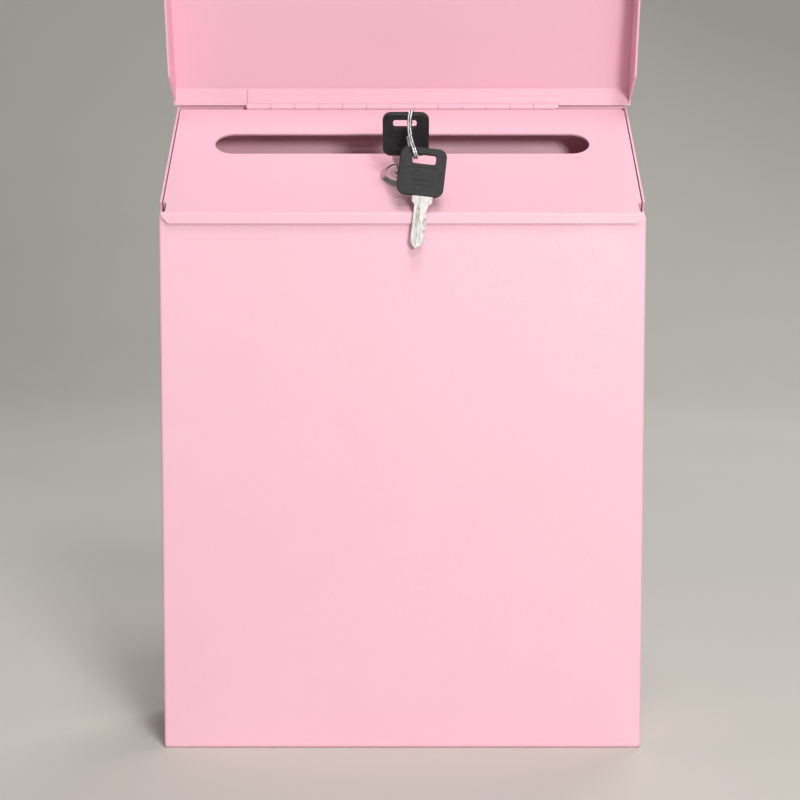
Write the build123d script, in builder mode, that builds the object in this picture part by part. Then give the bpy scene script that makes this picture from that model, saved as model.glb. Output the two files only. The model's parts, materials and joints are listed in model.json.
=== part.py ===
"""Wall-hung steel donation box: a bent-sheet body, an inner door with a paper slot and a cam lock
under a flip-up cover lid, one key in the lock and a spare key on the same wire loop.

Millimetres. +X is to the right of a person facing the box, the front faces -Y, +Z is up. The origin
is on the back face, at the centre of the four wall holes, which is half way up the body.
"""

from build123d import *
from math import cos, radians, sin
import os

# Driving dimensions of the body
WIDTH = 240.0
DEPTH = 90.0
HEIGHT = 326.0  # from the bottom to the hinge axis
SHEET = 1.0
BEND = 1.5  # outer radius of a bend
SLOPE_DEG = 34.0  # fall of the sloped top
HINGE_IN = 6.0  # hinge axis in front of the back face
BACK_RISE = 1.2  # back panel above the hinge axis, which closes the gap behind the door
FLANGE = 12.0  # width of the body's return flanges
RIM_N = -1.6  # outer face of the return flange under the door's front edge
RIM_DROP = -2.1  # height at which that flange meets the front sheet
TRAY_GAP, TRAY_FLANGE = 0.6, 8.0  # bottom panel's side gap and the height of its rear flange
WALL_HOLE_SPACING = 160.0
WALL_HOLE_R = 3.0
WELD_R, WELD_DEPTH, WELD_PITCH = 2.5, 0.2, 60.0  # shallow round marks of the spot welds

# Inner door, slot and lock
DOOR_HALF = 118.3
DOOR_START = 2.6  # down-slope distance from the hinge axis to the door's rear edge
DOOR_SIDE = 9.0  # depth of the door's side flanges
LIP_GAP = 0.7
LIP_DROP = 5.0
LIP_CUT, REAR_CORNER = 3.2, 2.0  # cut across the lip's ends and radius of the door's rear corners
NOTCH_LENGTH, NOTCH_WIDTH, NOTCH_DEPTH = 9.0, 3.4, 5.0  # corner reliefs beside the door's front bend
SLOT_LENGTH, SLOT_HEIGHT, SLOT_S = 194.0, 20.0, 37.5
CATCH_TOP, CATCH_S, CATCH_RISE, CATCH_SHEET, CATCH_HALF = -19.2, 88.0, 14.0, 1.2, 15.0
LOCK_S = 68.5
BARREL_R, BARREL_LENGTH, BARREL_FLAT = 9.5, 20.0, 8.2
FLANGE_R, FLANGE_THICK, FLANGE_FACE_R, FLANGE_DISH = 11.0, 2.2, 8.6, 0.4
BARREL_FIT = 0.1  # clearance round the barrel and round the stub
PLUG_R, PLUG_GAP, PLUG_TOP, KEYWAY_DEPTH = 6.0, 0.05, 1.9, 16.5
STUB_R, STUB_FLAT, STUB_LENGTH = 4.5, 3.5, 2.9
WAFERS = [-3.0, -5.2, -7.4, -9.6, -11.8]  # heights of the wafers' front faces
WAFER_THICK, WAFER_WIDTH, WAFER_LENGTH = 0.9, 5.0, 10.6
SPRING_R, SPRING_BORE, SPRING_LENGTH, POCKET = 0.45, 0.2, 4.4, 1.4
LOCK_WASHER_R, LOCK_WASHER_THICK = 12.5, 0.8
NUT_R, NUT_THICK = 11.5, 4.0  # across-flats radius
STOP_WASHER_R, STOP_WASHER_THICK = 8.0, 0.7
CAM_REACH, CAM_WIDTH, CAM_TOP, CAM_THICK, CAM_HUB_R, CAM_CORNER = 32.0, 14.0, -21.0, 1.8, 8.5, 4.0
CAM_WASHER_R, CAM_WASHER_THICK, CAM_WASHER_TOP = 5.5, 0.7, -23.0
SCREW_R, SCREW_GRIP, SCREW_HEAD_R, SCREW_HEAD = 1.5, 5.6, 2.8, 2.0
CROSS_LENGTH, CROSS_WIDTH, CROSS_DEPTH = 3.4, 0.8, 1.2

# Hinge: three leaves on one pin
HINGE_HALF = 83.0
KNUCKLES = 13
KNUCKLE_GAP = 0.25
KNUCKLE_R, PIN_R, PIN_GAP = 2.0, 1.0, 0.05
LEAF_START = 2.4  # where a leaf's plate begins, clear of the other leaves' knuckles
LEAF_DROP, LEAF_WIDTH = 14.0, 14.5

# Lid, drawn closed and then turned open
LID_HALF = 122.4
LID_OPEN_DEG = 102.0
LID_CLEAR = 7.8  # from the slope plane to the lid's inner face
STRIP_Z = 2.0  # inner face of the lid's level strip, above the hinge axis
LID_LIP = 20.5
LID_FRONT = -87.3  # inner face of the lid's front lip, from the hinge axis
LID_HEEL = (-9.6, -23.7)  # lower rear corner of a lid side, from the hinge axis

# Keys: drawn about the centre of the hole in the head, with +Y towards the top of the head
HEAD_WIDTH, HEAD_TOP, HEAD_BOTTOM, HEAD_THICK = 23.0, 5.7, -18.1, 3.0
HEAD_SHIFT, HEAD_CORNER = 0.5, 4.2
HOLE_WIDTH, HOLE_HEIGHT, HOLE_CORNER = 11.6, 4.6, 1.2
PANEL_MARGIN, PANEL_TOP, PANEL_DEPTH, PANEL_CORNER = 2.4, -4.0, 0.3, 2.5  # recess in each face
RIB_LENGTH, RIB_WIDTH, RIB_PITCH, RIB_COUNT = 9.0, 0.9, 2.3, 3
BLADE_X, BLADE_WIDTH, BLADE_THICK, BLADE_TIP = -1.2, 7.0, 1.8, -43.8
SHOULDER_WIDTH, SHOULDER_END, TANG = 10.0, -22.5, 7.0
GROOVE_X, GROOVE_WIDTH, GROOVE_DEPTH = 1.4, 1.3, 0.5
CUTS = [0.9, 1.7, 0.7, 1.5, 1.1]  # depths of the notches
CUT_PITCH = 2.9
KEY_HOLE_N = 30.3  # height of the inserted key's hole above the door
SPARE_HOLE = (10.7, -90.0, 131.4)
SPARE_TILT_DEG, SPARE_LEAN_DEG = 6.5, 7.0
WIRE_R, LOOP_R, LOOP_X = 0.6, 3.3, 5.8

S, C = sin(radians(SLOPE_DEG)), cos(radians(SLOPE_DEG))
BASE_Z, TOP_Z = -HEIGHT / 2, HEIGHT / 2
HALF = WIDTH / 2
AXIS = (-HINGE_IN, TOP_Z)  # the hinge axis in Y and Z


def slope(s, n):
    """Y and Z of a point s down the slope from the hinge axis and n above the door's outer face."""
    return (AXIS[0] - C * s - S * n, AXIS[1] - S * s + C * n)


def s_at(y, n):
    """How far down the slope the plane Y = y is met at height n."""
    return (AXIS[0] - S * n - y) / C


def slope_plane(n=0.0, s=0.0):
    """Plane parallel to the door: X is the box's X and Y runs up the slope."""
    y, z = slope(s, n)
    return Plane(origin=(0, y, z), x_dir=(1, 0, 0), z_dir=(0, -S, C))


def lid_plane(x=0.0):
    """Side-view plane of the open lid: sketch axes are Y and Z of the closed lid, from the hinge axis."""
    a = radians(LID_OPEN_DEG)
    return Plane(origin=(x, *AXIS), x_dir=(0, cos(a), -sin(a)), z_dir=(1, 0, 0))


def outline(*points):
    """A filled polygon in the sketch that is being drawn, where its points say."""
    Polygon(*points, align=None)


def band(s0, s1, n0, n1):
    """A filled strip of the side view, from s0 to s1 down the slope and n0 to n1 above the door."""
    outline(slope(s0, n0), slope(s1, n0), slope(s1, n1), slope(s0, n1))


# ---------------------------------------------------------------- body
front_top = slope(s_at(-DEPTH, 0), 0)
notch_s = s_at(-DEPTH, 0) - NOTCH_LENGTH / 2 + 1.0  # middle of the corner reliefs
side_profile = [(-SHEET, BASE_Z), (-DEPTH, BASE_Z), front_top, AXIS, (-SHEET, TOP_Z)]

with BuildPart() as body_shell:
    with BuildSketch(Plane.YZ):
        outline(*side_profile)
    extrude(amount=HALF, both=True)
    front_edges = edges().filter_by(Axis.Z).group_by(Axis.Y)[0]
    bottom_edges = edges().group_by(Axis.Z)[0].filter_by(lambda e: e.center().Y < -SHEET - 0.1)
    fillet(front_edges + bottom_edges, BEND)
    rear = faces().sort_by(Axis.Y)[-1]
    upper = faces().filter_by(lambda f: f.normal_at().Z > 0.5)
    offset(amount=-SHEET, openings=[rear, *upper])
    # the floor is cut away inside its return flange
    with BuildSketch(Plane.XY.offset(BASE_Z)):
        with Locations((0, -SHEET)):
            Rectangle(WIDTH - 2 * FLANGE, DEPTH - FLANGE - SHEET, align=(Align.CENTER, Align.MAX))
    extrude(amount=3 * SHEET, mode=Mode.SUBTRACT)
    with BuildSketch(Plane.XY.offset(BASE_Z)):
        with Locations((0, -DEPTH / 2)):
            with GridLocations(WIDTH - FLANGE, WELD_PITCH, 2, 2):
                Circle(WELD_R)
    extrude(amount=WELD_DEPTH, mode=Mode.SUBTRACT)
    # the front stops short of the door, and its top is returned inwards under it
    with BuildSketch(Plane.YZ):
        band(s_at(-DEPTH, 0) - FLANGE, s_at(-DEPTH, 0) + FLANGE, RIM_N, 3 * SHEET)
    extrude(amount=HALF - SHEET, both=True, mode=Mode.SUBTRACT)
    with BuildSketch(Plane.YZ):
        rim_front = s_at(-DEPTH + SHEET / 2, RIM_DROP)
        band(s_at(-DEPTH + SHEET, RIM_DROP) - FLANGE, rim_front, RIM_N - SHEET, RIM_N)
    extrude(amount=DOOR_HALF - 2 * SHEET, both=True)
    # corner reliefs, where the sides meet the front
    with BuildSketch(slope_plane(1.0)):
        with Locations((HALF, -notch_s), (-HALF, -notch_s)):
            Rectangle(2.6, NOTCH_LENGTH)
    extrude(amount=-NOTCH_DEPTH - 1.0, mode=Mode.SUBTRACT)
    # rear return flanges, which the back panel is welded to
    with BuildSketch(Plane.XY.offset(BASE_Z)):
        with Locations((HALF - SHEET / 2, -SHEET), (-HALF + FLANGE + SHEET / 2, -SHEET)):
            Rectangle(FLANGE, SHEET, align=(Align.MAX, Align.MAX))
    extrude(amount=HEIGHT - 4 * SHEET)

with BuildPart() as back_panel:
    with BuildSketch(Plane.XZ):
        with Locations((0, BACK_RISE / 2)):
            RectangleRounded(WIDTH, HEIGHT + BACK_RISE, BEND)
    extrude(amount=SHEET)
    with Locations(Plane.XZ):
        with GridLocations(WALL_HOLE_SPACING, WALL_HOLE_SPACING, 2, 2):
            Hole(WALL_HOLE_R)
    with BuildSketch(Plane.XZ):
        with GridLocations(WIDTH - FLANGE, WELD_PITCH, 2, 5):
            Circle(WELD_R)
    extrude(amount=WELD_DEPTH, mode=Mode.SUBTRACT)

with BuildPart() as bottom_panel:
    tray_width = WIDTH - 2 * SHEET - 2 * TRAY_GAP
    with BuildSketch(Plane.XY.offset(BASE_Z + SHEET)):
        with Locations((0, -2 * SHEET)):
            Rectangle(tray_width, DEPTH - 3 * SHEET - TRAY_GAP, align=(Align.CENTER, Align.MAX))
    extrude(amount=SHEET)
    with BuildSketch(Plane.XY.offset(BASE_Z + SHEET)):
        with Locations((0, -2 * SHEET)):
            Rectangle(tray_width, SHEET, align=(Align.CENTER, Align.MAX))
    extrude(amount=TRAY_FLANGE)

with BuildPart() as latch_catch:
    with BuildSketch(Plane.YZ):
        ledge_low = CATCH_TOP - CATCH_SHEET
        front_low, front_high = s_at(-DEPTH + SHEET, ledge_low), s_at(-DEPTH + SHEET, CATCH_TOP)
        outline(
            slope(CATCH_S, ledge_low),
            slope(front_low, ledge_low),
            slope(front_high, CATCH_TOP),
            slope(CATCH_S, CATCH_TOP),
        )
        with Locations(slope(front_high, CATCH_TOP)):
            Rectangle(CATCH_SHEET, CATCH_RISE, align=(Align.MIN, Align.MIN))
    extrude(amount=CATCH_HALF, both=True)

# ---------------------------------------------------------------- hinge
PITCH = 2 * HINGE_HALF / KNUCKLES


def knuckles(turn):
    """Tubes of one leaf of the hinge: turn 0 is the body's, 1 the door's and 2 the lid's."""
    length = PITCH - KNUCKLE_GAP
    for i in range(turn, KNUCKLES, 3):
        start = -HINGE_HALF + i * PITCH + KNUCKLE_GAP / 2
        yield start, length


def add_knuckle(start, length, plane, tab):
    """One rolled tube and the tangent tab that joins it to its plate."""
    with BuildSketch(plane) as section:
        Circle(KNUCKLE_R)
        outline(*tab)
        Circle(PIN_R + PIN_GAP, mode=Mode.SUBTRACT)
    extrude(section.sketch, amount=length)


def tab_points(depth):
    """Tab under or over the axis, from the axis out to the plate: depth is its far face's offset."""
    near = depth - SHEET if depth > 0 else depth + SHEET
    return [(0, near), (0, depth), (-LEAF_START - 0.5, depth), (-LEAF_START - 0.5, near)]


def axis_plane(x, turn_deg=0.0):
    """Side-view plane at x on the hinge axis, turned so that its -X points along a leaf."""
    a = radians(turn_deg)
    return Plane(origin=(x, *AXIS), x_dir=(0, cos(a), sin(a)), z_dir=(1, 0, 0))


with BuildPart() as hinge_body_leaf:
    with BuildSketch(Plane.YZ):
        wall = -SHEET - AXIS[0]
        with Locations(AXIS):
            outline(
                (LEAF_START, -SHEET),
                (LEAF_START, -2 * SHEET),
                (wall - SHEET, -2 * SHEET),
                (wall - SHEET, -LEAF_DROP),
                (wall, -LEAF_DROP),
                (wall, -SHEET),
            )
    extrude(amount=HINGE_HALF - 0.2, both=True)
    fillet(edges().filter_by(Axis.X).group_by(Axis.Z)[-1].sort_by(Axis.Y)[-1:], 0.9)
    for start, length in knuckles(0):
        add_knuckle(start, length, axis_plane(start, 180), tab_points(2))

with BuildPart() as hinge_door_leaf:
    with BuildSketch(Plane.YZ):
        band(LEAF_START, LEAF_WIDTH, -2 * SHEET, -SHEET)
    extrude(amount=HINGE_HALF - 0.2, both=True)
    for start, length in knuckles(1):
        add_knuckle(start, length, axis_plane(start, SLOPE_DEG), tab_points(-2))

with BuildPart() as hinge_lid_leaf:
    with BuildSketch(lid_plane()):
        outline((-LEAF_START, 1), (-LEAF_START, 2), (-10.2, 2), (-10.2, 1))
    extrude(amount=HINGE_HALF - 0.2, both=True)
    for start, length in knuckles(2):
        add_knuckle(start, length, lid_plane(start), tab_points(2))

with BuildPart() as hinge_pin:
    with BuildSketch(axis_plane(-HINGE_HALF - 0.6)):
        Circle(PIN_R)
    extrude(amount=2 * HINGE_HALF + 1.2)
    chamfer(edges().filter_by(GeomType.CIRCLE), 0.25)

# ---------------------------------------------------------------- inner door
lip_out = -DEPTH - LIP_GAP - SHEET
bend_out = slope(s_at(lip_out, 0), 0)
bend_in = slope(s_at(lip_out + SHEET, -SHEET), -SHEET)
lip_low = bend_out[1] - LIP_DROP

with BuildPart() as slot_door:
    with BuildSketch(Plane.YZ):
        outline(
            slope(DOOR_START, -SHEET),
            slope(DOOR_START, 0),
            bend_out,
            (lip_out, lip_low),
            (lip_out + SHEET, lip_low),
            bend_in,
        )
    extrude(amount=DOOR_HALF, both=True)
    bends = edges().filter_by(Axis.X)
    fillet(bends.sort_by(lambda e: (e.center() - Vector(0, *bend_out)).length)[:1], BEND)
    # rear corners rounded, lip corners cut back
    rear_corners = edges().filter_by(lambda e: abs(e.length - SHEET) < 0.01 and e.center().Y > -12)
    fillet(rear_corners, REAR_CORNER)
    lip_corners = edges().filter_by(Axis.Y).filter_by(lambda e: e.center().Z < lip_low + 0.1)
    chamfer(lip_corners, LIP_CUT)
    # side flanges
    with BuildSketch(Plane.YZ.offset(DOOR_HALF - SHEET)):
        band(9.0, notch_s - NOTCH_LENGTH / 2, -DOOR_SIDE, -SHEET / 2)
    flange = extrude(amount=SHEET)
    mirror(flange, about=Plane.YZ)
    # relief notches between the flanges and the lip
    with BuildSketch(slope_plane()):
        with Locations((DOOR_HALF, -notch_s), (-DOOR_HALF, -notch_s)):
            SlotOverall(NOTCH_LENGTH, NOTCH_WIDTH, rotation=90)
    extrude(amount=-NOTCH_DEPTH, mode=Mode.SUBTRACT)
    with BuildSketch(slope_plane(s=SLOT_S)):
        SlotOverall(SLOT_LENGTH, SLOT_HEIGHT)
    extrude(amount=-2 * SHEET, mode=Mode.SUBTRACT)
    with BuildSketch(slope_plane(s=LOCK_S)):
        Circle(BARREL_R + BARREL_FIT)
        Rectangle(2 * BARREL_R + 1, 2 * (BARREL_FLAT + BARREL_FIT), mode=Mode.INTERSECT)
    extrude(amount=-2 * SHEET, mode=Mode.SUBTRACT)

# ---------------------------------------------------------------- cam lock
with BuildPart() as lock_housing:
    with BuildSketch(slope_plane(s=LOCK_S)):
        Circle(BARREL_R)
        Rectangle(2 * BARREL_R + 1, 2 * BARREL_FLAT, mode=Mode.INTERSECT)
    extrude(amount=-BARREL_LENGTH)
    with BuildSketch(slope_plane(s=LOCK_S)):
        Circle(FLANGE_R)
    extrude(amount=FLANGE_THICK)
    # a conical bevel outside, and a dished face round the plug
    rim_edge = edges().filter_by(GeomType.CIRCLE).sort_by(Axis((0, 0, 0), (0, -S, C)))[-1:]
    chamfer(rim_edge, 1.5, 1.8)
    with BuildSketch(slope_plane(FLANGE_THICK, LOCK_S)):
        Circle(FLANGE_FACE_R)
    extrude(amount=-FLANGE_DISH, mode=Mode.SUBTRACT)
    with BuildSketch(slope_plane(FLANGE_THICK, LOCK_S)):
        Circle(PLUG_R + PLUG_GAP)
    extrude(amount=-BARREL_LENGTH - FLANGE_THICK, mode=Mode.SUBTRACT)

with BuildPart() as lock_washer:
    with BuildSketch(slope_plane(-SHEET, LOCK_S)):
        Circle(LOCK_WASHER_R)
        Circle(BARREL_R + BARREL_FIT, mode=Mode.SUBTRACT)
    extrude(amount=-LOCK_WASHER_THICK)

with BuildPart() as lock_nut:
    with BuildSketch(slope_plane(-SHEET - LOCK_WASHER_THICK, LOCK_S)):
        RegularPolygon(NUT_R, 6, major_radius=False)
        Circle(BARREL_R + BARREL_FIT, mode=Mode.SUBTRACT)
    extrude(amount=-NUT_THICK)

with BuildPart() as lock_plug:
    with BuildSketch(slope_plane(PLUG_TOP, LOCK_S)):
        Circle(PLUG_R)
    extrude(amount=-BARREL_LENGTH - PLUG_TOP)
    with BuildSketch(slope_plane(-BARREL_LENGTH, LOCK_S)):
        Circle(STUB_R)
        Rectangle(2 * STUB_R, 2 * STUB_FLAT, mode=Mode.INTERSECT)
    extrude(amount=-STUB_LENGTH)
    # keyway, wafer slots, spring pockets and the screw's hole
    with BuildSketch(slope_plane(PLUG_TOP, LOCK_S)):
        Rectangle(BLADE_WIDTH + 0.5, BLADE_THICK + 0.4)
    extrude(amount=-KEYWAY_DEPTH, mode=Mode.SUBTRACT)
    for n in WAFERS:
        with BuildSketch(slope_plane(n, LOCK_S)):
            Rectangle(4 * PLUG_R, WAFER_WIDTH + 0.2)
            with Locations((0, (WAFER_WIDTH + POCKET) / 2)):
                Rectangle(5.0, POCKET)
        extrude(amount=-WAFER_THICK - 0.2, mode=Mode.SUBTRACT)
    with BuildSketch(slope_plane(-BARREL_LENGTH - STUB_LENGTH, LOCK_S)):
        Circle(SCREW_R + PLUG_GAP)
    extrude(amount=SCREW_GRIP, mode=Mode.SUBTRACT)

with BuildPart() as lock_wafers:
    for n in WAFERS:
        with BuildSketch(slope_plane(n - 0.1, LOCK_S)):
            Rectangle(WAFER_LENGTH, WAFER_WIDTH)
            Rectangle(BLADE_WIDTH + 0.4, BLADE_THICK + 0.3, mode=Mode.SUBTRACT)
        extrude(amount=-WAFER_THICK)

with BuildPart() as wafer_springs:
    for n in WAFERS:
        y, z = slope(LOCK_S - (WAFER_WIDTH + POCKET) / 2, n - 0.55)
        with BuildSketch(Plane.YZ.offset(-SPRING_LENGTH / 2)):
            with Locations((y, z)):
                Circle(SPRING_R)
                Circle(SPRING_BORE, mode=Mode.SUBTRACT)
        extrude(amount=SPRING_LENGTH)

with BuildPart() as stop_washer:
    with BuildSketch(slope_plane(-BARREL_LENGTH - 0.1, LOCK_S)):
        Circle(STOP_WASHER_R)
        with BuildSketch(mode=Mode.SUBTRACT):
            Circle(STUB_R + BARREL_FIT)
            Rectangle(2 * STUB_R + 1, 2 * (STUB_FLAT + BARREL_FIT), mode=Mode.INTERSECT)
    extrude(amount=-STOP_WASHER_THICK)

with BuildPart() as lock_cam:
    with BuildSketch(slope_plane(CAM_TOP, LOCK_S)):
        Circle(CAM_HUB_R)
        Rectangle(CAM_REACH, CAM_WIDTH, align=(Align.MIN, Align.CENTER))
    extrude(amount=-CAM_THICK)
    upright = edges().filter_by(lambda e: abs(e.length - CAM_THICK) < 0.01)
    fillet(upright.filter_by(lambda e: e.center().X > CAM_REACH - 0.1), CAM_CORNER)
    with BuildSketch(slope_plane(CAM_TOP, LOCK_S)):
        Circle(STUB_R + BARREL_FIT)
        Rectangle(2 * STUB_R + 1, 2 * (STUB_FLAT + BARREL_FIT), mode=Mode.INTERSECT)
    extrude(amount=-CAM_THICK, mode=Mode.SUBTRACT)

with BuildPart() as cam_washer:
    with BuildSketch(slope_plane(CAM_WASHER_TOP, LOCK_S)):
        Circle(CAM_WASHER_R)
        Circle(SCREW_R + BARREL_FIT, mode=Mode.SUBTRACT)
    extrude(amount=-CAM_WASHER_THICK)

with BuildPart() as cam_screw:
    seat = CAM_WASHER_TOP - CAM_WASHER_THICK
    with BuildSketch(slope_plane(seat, LOCK_S)):
        Circle(SCREW_R)
    extrude(amount=SCREW_GRIP)
    with BuildSketch(slope_plane(seat, LOCK_S)):
        Circle(SCREW_HEAD_R)
    extrude(amount=-SCREW_HEAD)
    with BuildSketch(slope_plane(seat - SCREW_HEAD, LOCK_S)):
        Rectangle(CROSS_LENGTH, CROSS_WIDTH)
        Rectangle(CROSS_WIDTH, CROSS_LENGTH)
    extrude(amount=CROSS_DEPTH, mode=Mode.SUBTRACT)

# ---------------------------------------------------------------- keys and their wire loop
BLADE_RIGHT, BLADE_LEFT = BLADE_X + BLADE_WIDTH / 2, BLADE_X - BLADE_WIDTH / 2


def blade_outline():
    """Outline of a key's metal: a tang inside the head, a shoulder, and a blade notched along one edge."""
    tang_top = HEAD_BOTTOM + TANG
    left = [(BLADE_LEFT, BLADE_TIP + 3.0)]
    for i, depth in enumerate(CUTS):
        low = BLADE_TIP + 4.6 + CUT_PITCH * i
        left += [(BLADE_LEFT, low - 0.6), (BLADE_LEFT + depth, low + 0.5), (BLADE_LEFT + depth, low + 1.2)]
    half = SHOULDER_WIDTH / 2
    return [
        (BLADE_X + 0.6, BLADE_TIP),
        *left,
        (BLADE_LEFT, SHOULDER_END),
        (BLADE_X - half, SHOULDER_END + 1.5),
        (BLADE_X - half, tang_top),
        (BLADE_X + half, tang_top),
        (BLADE_X + half, SHOULDER_END + 1.5),
        (BLADE_RIGHT, SHOULDER_END),
        (BLADE_RIGHT, BLADE_TIP + 3.0),
        (BLADE_X + 1.2, BLADE_TIP),
    ]


def make_blade(plane):
    """Solid of a key's metal, centred on its plane, with a milled groove down each face."""
    with BuildPart() as blade:
        with BuildSketch(plane):
            outline(*blade_outline())
        extrude(amount=BLADE_THICK / 2, both=True)
        groove_length = SHOULDER_END - BLADE_TIP - 1.5
        for side in (1, -1):
            with BuildSketch(plane.offset(side * BLADE_THICK / 2)):
                with Locations((BLADE_X + GROOVE_X, BLADE_TIP)):
                    Rectangle(GROOVE_WIDTH, groove_length, align=(Align.CENTER, Align.MIN))
            extrude(amount=-side * GROOVE_DEPTH, mode=Mode.SUBTRACT)
    return blade.part


def make_head(plane):
    """Moulded plastic head of a key, with a hole for the loop and a pocket that holds the metal."""
    panel_height = PANEL_TOP - HEAD_BOTTOM - PANEL_MARGIN
    with BuildPart() as head:
        with BuildSketch(plane):
            with Locations((HEAD_SHIFT, (HEAD_TOP + HEAD_BOTTOM) / 2)):
                RectangleRounded(HEAD_WIDTH, HEAD_TOP - HEAD_BOTTOM, HEAD_CORNER)
            RectangleRounded(HOLE_WIDTH, HOLE_HEIGHT, HOLE_CORNER, mode=Mode.SUBTRACT)
        extrude(amount=HEAD_THICK / 2, both=True)
        rims = edges().filter_by(lambda e: abs(plane.to_local_coords(e.center()).Z) > HEAD_THICK / 2 - 0.01)
        fillet(rims, 0.5)
        with BuildSketch(plane):
            with Locations((BLADE_X, HEAD_BOTTOM)):
                Rectangle(SHOULDER_WIDTH, TANG, align=(Align.CENTER, Align.MIN))
        extrude(amount=BLADE_THICK / 2, both=True, mode=Mode.SUBTRACT)
        # a recessed panel with grip ribs in each face
        for side in (1, -1):
            with BuildSketch(plane.offset(side * HEAD_THICK / 2)):
                with Locations((HEAD_SHIFT, PANEL_TOP - panel_height / 2)):
                    RectangleRounded(HEAD_WIDTH - 2 * PANEL_MARGIN, panel_height, PANEL_CORNER)
                    with GridLocations(0, RIB_PITCH, 1, RIB_COUNT):
                        SlotOverall(RIB_LENGTH, RIB_WIDTH, mode=Mode.SUBTRACT)
            extrude(amount=-side * PANEL_DEPTH, mode=Mode.SUBTRACT)
    return head.part


key_y, key_z = slope(LOCK_S, KEY_HOLE_N)
key_plane = Plane(origin=(-BLADE_X, key_y, key_z), x_dir=(1, 0, 0), z_dir=(0, -C, -S))
tilt, lean = radians(SPARE_TILT_DEG), radians(SPARE_LEAN_DEG)
spare_up = Vector(sin(tilt), cos(tilt) * sin(lean), cos(tilt) * cos(lean))
spare_across = Vector(-cos(tilt), sin(tilt) * sin(lean), sin(tilt) * cos(lean))
spare_plane = Plane(origin=SPARE_HOLE, x_dir=spare_across, z_dir=spare_across.cross(spare_up))

key_blade, key_head = make_blade(key_plane), make_head(key_plane)
spare_key_blade, spare_key_head = make_blade(spare_plane), make_head(spare_plane)

# the loop goes round the rim between the hole and the top of each head
rim = (HEAD_TOP + HOLE_HEIGHT / 2) / 2
upper_rim = Vector(LOOP_X, *slope(LOCK_S, KEY_HOLE_N + rim))
spare_rim = Vector(*SPARE_HOLE) + spare_up * rim
lower_rim = Vector(LOOP_X, spare_rim.Y, spare_rim.Z)
loop_down = (lower_rim - upper_rim).normalized()
loop_plane = Plane(origin=(upper_rim + lower_rim) * 0.5, x_dir=loop_down, z_dir=(1, 0, 0))
loop_half = (lower_rim - upper_rim).length / 2

with BuildPart() as key_loop:
    with BuildLine(loop_plane) as loop_path:
        Line((-loop_half, LOOP_R), (loop_half, LOOP_R))
        ThreePointArc((loop_half, LOOP_R), (loop_half + LOOP_R, 0), (loop_half, -LOOP_R))
        Line((loop_half, -LOOP_R), (-loop_half, -LOOP_R))
        ThreePointArc((-loop_half, -LOOP_R), (-loop_half - LOOP_R, 0), (-loop_half, LOOP_R))
    start = loop_plane.from_local_coords(Vector(0, LOOP_R, 0))
    with BuildSketch(Plane(origin=start, z_dir=loop_down)):
        Circle(WIRE_R)
    sweep(path=loop_path.wires()[0])

# ---------------------------------------------------------------- lid
strip_out = STRIP_Z + SHEET


def lid_corner(clear, level):
    """Where the lid's level strip meets its sloped panel, for one face of the sheet."""
    return ((C * level - clear) / S, level)


def lid_front(clear, y):
    """Where the lid's sloped panel meets its front lip, for one face of the sheet."""
    return (y, (clear + S * y) / C)


outer_front = lid_front(LID_CLEAR + SHEET, LID_FRONT - SHEET)
inner_front = lid_front(LID_CLEAR, LID_FRONT)
lip_end = inner_front[1] - LID_LIP

with BuildPart() as lid:
    with BuildSketch(lid_plane()):
        outline(
            (-1.6, strip_out),
            lid_corner(LID_CLEAR + SHEET, strip_out),
            outer_front,
            (LID_FRONT - SHEET, lip_end),
            LID_HEEL,
            (-4.0, STRIP_Z - 1.0),
            (-1.6, STRIP_Z),
        )
    extrude(amount=LID_HALF, both=True)
    outer_edges = edges().filter_by(lambda e: abs(abs(e.center().X) - LID_HALF) < 0.01)
    sloped = outer_edges.filter_by(lambda e: e.length > 60).sort_by(
        lambda e: -lid_plane().to_local_coords(e.center()).Y
    )[:2]
    fillet(sloped, BEND)
    with BuildSketch(lid_plane()):
        outline(
            (3.0, STRIP_Z),
            lid_corner(LID_CLEAR, STRIP_Z),
            inner_front,
            (LID_FRONT, lip_end - 30),
            (3.0, lip_end - 30),
        )
    extrude(amount=LID_HALF - SHEET, both=True, mode=Mode.SUBTRACT)

# ---------------------------------------------------------------- export
PARTS = {
    "body_shell": body_shell.part,
    "back_panel": back_panel.part,
    "bottom_panel": bottom_panel.part,
    "latch_catch": latch_catch.part,
    "hinge_body_leaf": hinge_body_leaf.part,
    "hinge_door_leaf": hinge_door_leaf.part,
    "hinge_lid_leaf": hinge_lid_leaf.part,
    "hinge_pin": hinge_pin.part,
    "slot_door": slot_door.part,
    "lock_housing": lock_housing.part,
    "lock_washer": lock_washer.part,
    "lock_nut": lock_nut.part,
    "lock_plug": lock_plug.part,
    "lock_wafers": lock_wafers.part,
    "wafer_springs": wafer_springs.part,
    "stop_washer": stop_washer.part,
    "lock_cam": lock_cam.part,
    "cam_washer": cam_washer.part,
    "cam_screw": cam_screw.part,
    "key_blade": key_blade,
    "key_head": key_head,
    "key_loop": key_loop.part,
    "spare_key_blade": spare_key_blade,
    "spare_key_head": spare_key_head,
    "lid": lid.part,
}

os.makedirs("parts", exist_ok=True)
for name, part in PARTS.items():
    part.label = name
    export_step(part, f"parts/{name}.step")
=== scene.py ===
"""Looks of the pink wall-hung donation box: powder-coated sheet steel, cam lock, keys on a wire ring.

Metres, in the CAD model's own frame: +X is right, the front faces -Y and +Z is up.
"""

import json
from math import cos, pi, radians, sin

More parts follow.
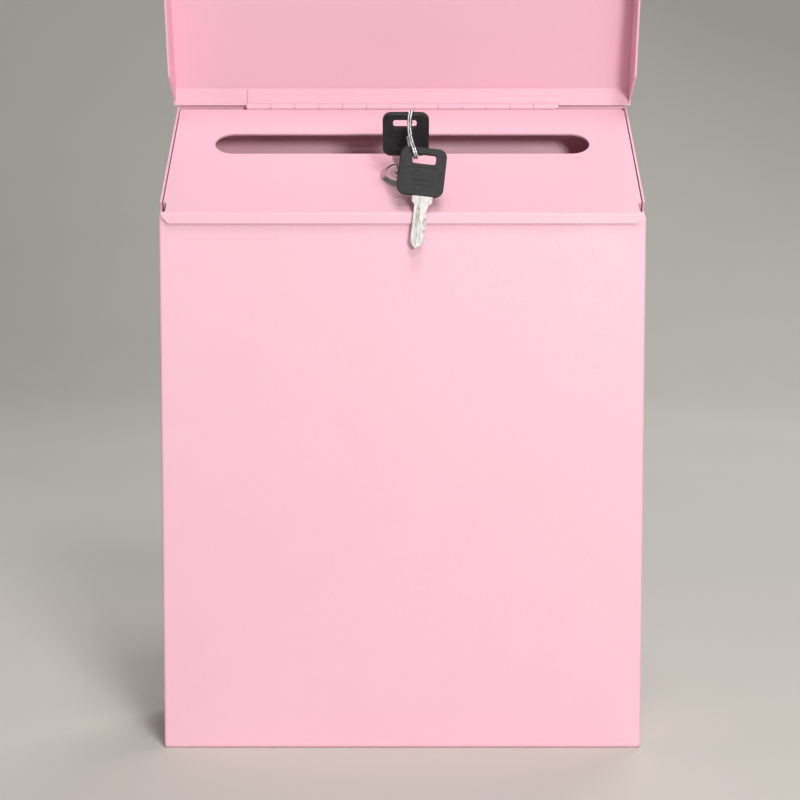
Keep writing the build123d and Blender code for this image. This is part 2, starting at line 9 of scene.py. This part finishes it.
import bmesh
import bpy
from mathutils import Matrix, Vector


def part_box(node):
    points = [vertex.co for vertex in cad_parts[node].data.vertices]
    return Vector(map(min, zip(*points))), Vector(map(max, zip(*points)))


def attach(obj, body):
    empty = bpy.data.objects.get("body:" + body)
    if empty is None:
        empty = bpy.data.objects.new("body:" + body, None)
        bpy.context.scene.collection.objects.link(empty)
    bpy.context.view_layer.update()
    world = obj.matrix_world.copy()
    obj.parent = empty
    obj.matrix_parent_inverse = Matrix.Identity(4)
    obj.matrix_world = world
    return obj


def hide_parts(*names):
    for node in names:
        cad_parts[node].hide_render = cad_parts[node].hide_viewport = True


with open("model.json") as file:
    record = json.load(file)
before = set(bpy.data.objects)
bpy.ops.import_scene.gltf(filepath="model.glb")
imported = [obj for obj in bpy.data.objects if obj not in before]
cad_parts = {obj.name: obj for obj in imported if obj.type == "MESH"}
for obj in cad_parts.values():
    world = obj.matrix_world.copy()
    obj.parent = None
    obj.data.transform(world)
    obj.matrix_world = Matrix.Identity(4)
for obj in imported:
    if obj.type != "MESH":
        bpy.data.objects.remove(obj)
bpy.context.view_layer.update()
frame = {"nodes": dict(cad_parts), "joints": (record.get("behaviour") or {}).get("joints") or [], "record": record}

MM = 0.001
scene = bpy.context.scene
nodes = frame["nodes"]
joints = {joint["name"]: joint for joint in frame["joints"]}
slots = {item["node"]: item["material_slot"] for item in frame["record"]["subparts"]}

# The two points where the keys hang on the ring, from the joints
UPPER_RIM = Vector(joints["loop_swing"]["pos_m"])
LOWER_RIM = Vector(joints["spare_swing"]["pos_m"])

FLOOR_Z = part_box("body_shell")[0].z

# The part of a noise's spread that drives a colour, a gloss or a relief
NOISE_LOW, NOISE_HIGH = 0.3, 0.7
# Openness at which a groove's painted shade is darkest, and at which it has no painted shade
GROOVE_DARK, GROOVE_UNSHADED = 0.35, 0.85
# How far the painted groove shade reaches, and how dark it makes the colour
GROOVE_SHADE_REACH, GROOVE_SHADE_DARKNESS = 1.2 * MM, 0.12
# How dark a metal's cloudy patches are beside its own colour
CLOUD_SHADE = 0.88

EDGE_SEGMENTS, EDGE_ANGLE = 2, radians(35)
EDGE_WIDTH = {"pink_powder_coat": 0.3 * MM, "key_nickel": 0.12 * MM, "zinc_plate": 0.15 * MM}

# Split ring: wire, pitch of its turns, half its width, how far its sides bow, and how far it slants
WIRE_RADIUS = 0.5 * MM
TURN_PITCH = 1.04 * MM
RING_TURNS = 2
RING_TIP = 3.3 * MM
RING_BOW = 2.4 * MM
RING_SLANT = 1.3 * MM
SIDE_STEPS, TIP_STEPS = 6, 8

# Backdrop: half its width, its front and back edges, its height, and the curve where floor meets wall
STAGE_HALF, STAGE_FRONT, STAGE_BACK, STAGE_HEIGHT = 6.0, -5.0, 3.2, 5.0
STAGE_CURVE, STAGE_STEPS = 1.2, 24
LIGHT_AIM = Vector((0, -0.05, 0.05))
WORLD_STRENGTH = 0.18

# Lens and sensor in millimetres, and degrees below level
LENS, SENSOR, CAMERA_TIP = 81.0, 36.0, 5.03
CAMERA_PLACE = (-1.2 * MM, -979 * MM, 91.4 * MM)


# ---------------------------------------------------------------- node helpers
class Shader:
    """A Principled material whose nodes are added by name and linked as they are made."""

    def __init__(self, name, color, roughness, metallic=0.0):
        self.material = bpy.data.materials.new(name)
        self.material.use_nodes = True
        self.tree = self.material.node_tree
        self.bsdf = self.tree.nodes["Principled BSDF"]
        self.bsdf.inputs["Base Color"].default_value = (*color, 1.0)
        self.bsdf.inputs["Roughness"].default_value = roughness
        self.bsdf.inputs["Metallic"].default_value = metallic
        self.coords = self.tree.nodes.new("ShaderNodeTexCoord")

    def link(self, output, node, name):
        self.tree.links.new(output, node.inputs[name])

    def noise(self, scale, detail=2.0, stretch=(1.0, 1.0, 1.0)):
        """Noise in object space; scale is in features per metre."""
        mapping = self.tree.nodes.new("ShaderNodeMapping")
        mapping.inputs["Scale"].default_value = stretch
        self.link(self.coords.outputs["Object"], mapping, "Vector")
        texture = self.tree.nodes.new("ShaderNodeTexNoise")
        texture.inputs["Scale"].default_value = scale
        texture.inputs["Detail"].default_value = detail
        self.link(mapping.outputs["Vector"], texture, "Vector")
        return texture.outputs["Fac"]

    def ramp(self, value, low, high):
        """Maps the middle of a noise's spread onto low to high."""
        mapped = self.tree.nodes.new("ShaderNodeMapRange")
        mapped.inputs["From Min"].default_value = NOISE_LOW
        mapped.inputs["From Max"].default_value = NOISE_HIGH
        mapped.inputs["To Min"].default_value = low
        mapped.inputs["To Max"].default_value = high
        self.link(value, mapped, "Value")
        return mapped.outputs["Result"]

    def tint(self, value, low, high):
        """Base colour that drifts between two close colours."""
        mix = self.tree.nodes.new("ShaderNodeMix")
        mix.data_type = "RGBA"
        mix.inputs["A"].default_value = (*low, 1.0)
        mix.inputs["B"].default_value = (*high, 1.0)
        self.link(self.ramp(value, 0.0, 1.0), mix, "Factor")
        self.link(mix.outputs["Result"], self.bsdf, "Base Color")

    def painted_groove_shade(self, reach, dark):
        """Paints shade into the base colour: ambient occlusion darkens it in the piece's own grooves narrower than
        reach, in metres.
        """
        occlusion = self.tree.nodes.new("ShaderNodeAmbientOcclusion")
        occlusion.samples = 8
        occlusion.only_local = True
        occlusion.inputs["Distance"].default_value = reach
        open_part = self.tree.nodes.new("ShaderNodeMapRange")
        open_part.inputs["From Min"].default_value = GROOVE_DARK
        open_part.inputs["From Max"].default_value = GROOVE_UNSHADED
        open_part.inputs["To Min"].default_value = dark
        open_part.inputs["To Max"].default_value = 1.0
        self.link(occlusion.outputs["AO"], open_part, "Value")
        shade = self.tree.nodes.new("ShaderNodeMix")
        shade.data_type = "RGBA"
        shade.blend_type = "MULTIPLY"
        shade.inputs["Factor"].default_value = 1.0
        color = self.bsdf.inputs["Base Color"]
        self.link(color.links[0].from_socket, shade, "A")
        self.link(open_part.outputs["Result"], shade, "B")
        self.link(shade.outputs["Result"], self.bsdf, "Base Color")

    def rough(self, value, low, high):
        self.link(self.ramp(value, low, high), self.bsdf, "Roughness")

    def bump(self, value, depth):
        """Adds a relief of that depth in metres, over any relief added before it."""
        bump = self.tree.nodes.new("ShaderNodeBump")
        bump.inputs["Distance"].default_value = depth
        bump.inputs["Strength"].default_value = 1.0
        self.link(value, bump, "Height")
        normal = self.bsdf.inputs["Normal"]
        if normal.is_linked:
            self.link(normal.links[0].from_socket, bump, "Normal")
        self.link(bump.outputs["Normal"], self.bsdf, "Normal")


def powder_coat():
    """Satin pink powder coat: faint drift of colour and gloss, fine orange peel."""
    coat = Shader("pink_powder_coat", (0.895, 0.525, 0.622), 0.42)
    coat.tint(coat.noise(14, 3), (0.885, 0.518, 0.614), (0.905, 0.532, 0.630))
    coat.rough(coat.noise(60, 3), 0.37, 0.46)
    coat.bump(coat.noise(420, 2), 0.00006)
    coat.bump(coat.noise(1500, 2), 0.00002)
    coat.bsdf.inputs["Specular IOR Level"].default_value = 0.45
    return coat.material


def key_plastic():
    """Dark moulded plastic with a spark-eroded texture."""
    plastic = Shader("key_plastic", (0.020, 0.021, 0.023), 0.45)
    plastic.tint(plastic.noise(300, 3), (0.016, 0.016, 0.018), (0.026, 0.027, 0.030))
    plastic.rough(plastic.noise(900, 2), 0.40, 0.52)
    plastic.bsdf.inputs["Specular IOR Level"].default_value = 0.3
    plastic.bump(plastic.noise(3500, 2), 0.00003)
    return plastic.material


def metal(name, color, rough_low, rough_high, grain=(1.0, 1.0, 1.0), relief=0.000004):
    """Plated or drawn metal: cloudy gloss, fine lines along the grain, and painted shade darkening its grooves."""
    steel = Shader(name, color, rough_low, 1.0)
    darker = tuple(CLOUD_SHADE * channel for channel in color)
    steel.tint(steel.noise(350, 3), darker, color)
    # Painted shade: ambient occlusion darkens the colour in the piece's own grooves
    steel.painted_groove_shade(GROOVE_SHADE_REACH, GROOVE_SHADE_DARKNESS)
    steel.rough(steel.noise(900, 3, grain), rough_low, rough_high)
    steel.bump(steel.noise(2600, 2, grain), relief)
    return steel.material


MATERIALS = {
    "pink_powder_coat": powder_coat(),
    "key_plastic": key_plastic(),
    "lock_chrome": metal("lock_chrome", (0.62, 0.63, 0.65), 0.08, 0.16),
    "plug_nickel": metal("plug_nickel", (0.50, 0.49, 0.47), 0.2, 0.32),
    "wafer_brass": metal("wafer_brass", (0.80, 0.62, 0.28), 0.2, 0.34),
    "spring_steel": metal("spring_steel", (0.66, 0.66, 0.67), 0.2, 0.32, (0.1, 1, 1)),
    "zinc_plate": metal("zinc_plate", (0.70, 0.71, 0.74), 0.24, 0.4),
    "key_nickel": metal("key_nickel", (0.62, 0.60, 0.57), 0.24, 0.36, (1, 1, 0.12), 0.000008),
    "loop_wire": metal("loop_wire", (0.95, 0.95, 0.96), 0.22, 0.34, (1, 1, 0.2)),
}


def edge_round(obj, width):
    """Rounds the sharp edges, as paint and tumbling do."""
    bevel = obj.modifiers.new("edge_round", "BEVEL")
    bevel.width = width
    bevel.segments = EDGE_SEGMENTS
    bevel.limit_method = "ANGLE"
    bevel.angle_limit = EDGE_ANGLE
    bevel.harden_normals = False


for name, obj in nodes.items():
    obj.data.materials.clear()
    obj.data.materials.append(MATERIALS[slots[name]])
    if slots[name] in EDGE_WIDTH:
        edge_round(obj, EDGE_WIDTH[slots[name]])


# ---------------------------------------------------------------- split ring
def ring_outline(half):
    """One turn of the ring from its rear side's middle: distance down it, and distance out to the front."""
    points = []
    for end in (1, -1):
        points += [(end * half * i / SIDE_STEPS, -end * RING_TIP) for i in range(SIDE_STEPS)]
        turn = [pi / 2 - pi * i / TIP_STEPS for i in range(TIP_STEPS + 1)]
        points += [(end * (half + RING_TIP * cos(a)), -end * RING_TIP * sin(a)) for a in turn]
        points += [(end * half * i / SIDE_STEPS, end * RING_TIP) for i in range(SIDE_STEPS - 1, 0, -1)]
    return points


def split_ring():
    """Key ring of two turns of round wire side by side, which slants and bows between the two heads."""
    middle = (UPPER_RIM + LOWER_RIM) / 2
    down = (LOWER_RIM - UPPER_RIM).normalized()
    front = Vector((-1, 0, 0)).cross(down)
    half = (LOWER_RIM - UPPER_RIM).length / 2
    points = ring_outline(half) * RING_TURNS
    curve = bpy.data.curves.new("split_ring", "CURVE")
    curve.dimensions = "3D"
    curve.bevel_depth = WIRE_RADIUS
    curve.bevel_resolution = 5
    curve.resolution_u = 6
    curve.use_fill_caps = True
    spline = curve.splines.new("NURBS")
    spline.points.add(len(points) - 1)
    for i, (along, out) in enumerate(points):
        reach = along / (half + RING_TIP)
        wound = TURN_PITCH * RING_TURNS * (i / len(points) - 0.5)
        across = RING_SLANT * reach - RING_BOW * (1 - reach * reach) + wound
        place = middle + down * along + front * out + Vector((across, 0, 0))
        spline.points[i].co = (*place, 1.0)
    spline.order_u = 3
    spline.use_endpoint_u = True
    ring = bpy.data.objects.new("split_ring", curve)
    scene.collection.objects.link(ring)
    ring.data.materials.append(MATERIALS["loop_wire"])
    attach(ring, "loop")
    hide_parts("key_loop")


split_ring()


# ---------------------------------------------------------------- stage, light and camera
def backdrop():
    """Pale floor that curves up into a backdrop well behind the box."""
    profile = [(STAGE_FRONT, FLOOR_Z)]
    for i in range(STAGE_STEPS + 1):
        angle = pi / 2 * i / STAGE_STEPS
        back = STAGE_BACK - STAGE_CURVE + STAGE_CURVE * sin(angle)
        profile.append((back, FLOOR_Z + STAGE_CURVE - STAGE_CURVE * cos(angle)))
    profile.append((STAGE_BACK, STAGE_HEIGHT))
    mesh = bmesh.new()
    rows = [[mesh.verts.new((x, y, z)) for x in (-STAGE_HALF, STAGE_HALF)] for y, z in profile]
    for a, b in zip(rows, rows[1:]):
        mesh.faces.new((a[0], a[1], b[1], b[0])).smooth = True
    data = bpy.data.meshes.new("backdrop")
    mesh.to_mesh(data)
    obj = bpy.data.objects.new("backdrop", data)
    scene.collection.objects.link(obj)
    paint = Shader("backdrop", (0.62, 0.60, 0.55), 0.9)
    paint.tint(paint.noise(3, 2), (0.61, 0.59, 0.54), (0.63, 0.61, 0.56))
    data.materials.append(paint.material)


def area_light(name, place, size, power, color=(1.0, 1.0, 1.0)):
    """Soft square light at place, aimed at the upper half of the box."""
    light = bpy.data.lights.new(name, "AREA")
    light.size = size
    light.energy = power
    light.color = color
    obj = bpy.data.objects.new(name, light)
    scene.collection.objects.link(obj)
    obj.location = place
    aim = LIGHT_AIM - Vector(place)
    obj.rotation_euler = aim.to_track_quat("-Z", "Y").to_euler()


def studio():
    backdrop()
    area_light("key_light", place=(0.7, -2.4, 0.42), size=0.4, power=27, color=(1.0, 0.99, 0.98))
    area_light("high_light", place=(0.9, -2.9, 2.3), size=0.7, power=31.5)
    area_light("top_light", place=(0.25, -1.2, 2.8), size=0.9, power=33)
    area_light("rear_light", place=(0.9, 2.0, 1.8), size=1.2, power=22)
    world = bpy.data.worlds.new("studio")
    world.use_nodes = True
    world.node_tree.nodes["Background"].inputs["Color"].default_value = (1.0, 0.99, 0.985, 1.0)
    world.node_tree.nodes["Background"].inputs["Strength"].default_value = WORLD_STRENGTH
    scene.world = world
    scene.view_settings.view_transform = "Standard"
    scene.view_settings.look = "None"


def camera():
    """Level with the upper part of the box, about a metre in front, tipped slightly down."""
    data = bpy.data.cameras.new("camera")
    data.lens = LENS
    data.sensor_width = SENSOR
    obj = bpy.data.objects.new("camera", data)
    obj.location = CAMERA_PLACE
    obj.rotation_euler = (radians(90 - CAMERA_TIP), 0.0, 0.0)
    scene.collection.objects.link(obj)
    scene.camera = obj


studio()
camera()
